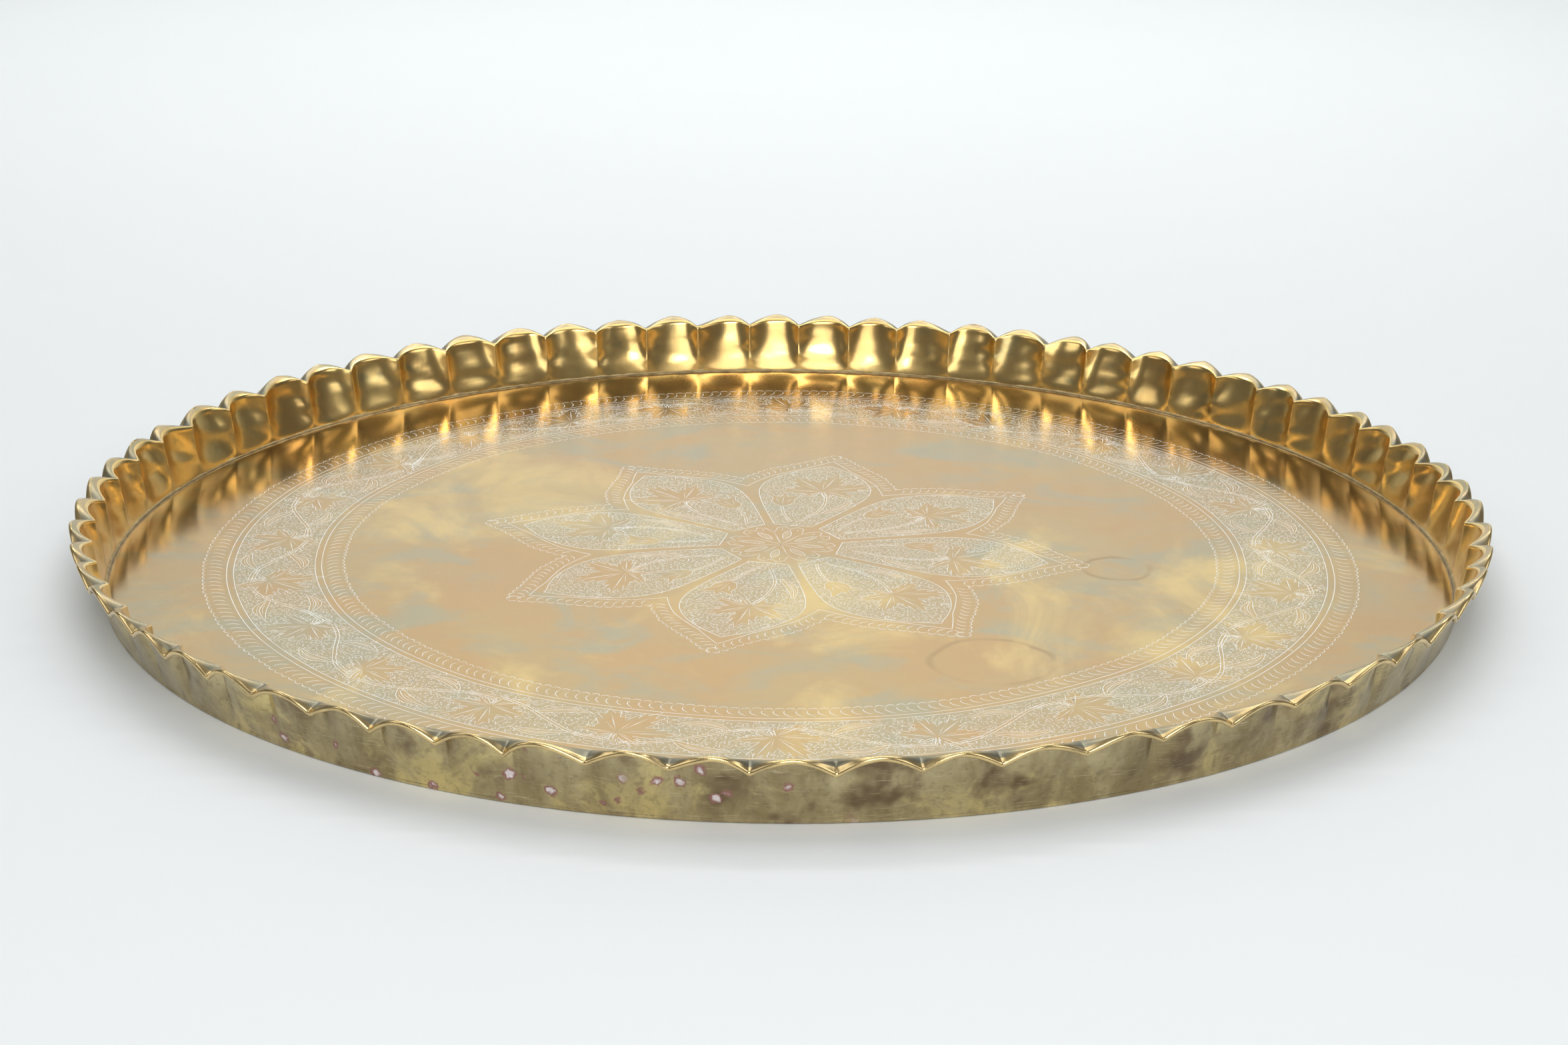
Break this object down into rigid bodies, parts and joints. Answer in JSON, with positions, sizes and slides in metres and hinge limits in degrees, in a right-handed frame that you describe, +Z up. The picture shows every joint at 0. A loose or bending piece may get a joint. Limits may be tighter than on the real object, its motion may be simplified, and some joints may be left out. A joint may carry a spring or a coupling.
{
  "type": "brass tray",
  "caption": "Large round brass serving tray with a fluted, flanged gallery and a rolled wavy edge; engraved leaf border and petal rosette.",
  "frame": {"origin": "centre of the flat underside, on the surface that the tray stands on", "axes": "+Z up, out of the tray's open side; +X passes through the middle of one flute"},
  "size_m": [0.75, 0.7492, 0.0375],
  "materials": {
    "floor_brass": "satin, engraved, cloudy tarnish",
    "gallery_brass": "polished inside, dull tarnish outside",
    "solder": "dull grey soft solder",
    "wire_brass": "drawn wire"
  },
  "bodies": {
    "root": {"floor_plate": "floor_brass", "fluted_gallery": "gallery_brass", "foot_solder": "solder", "rim_wire": "wire_brass"}
  },
  "joints": []
}
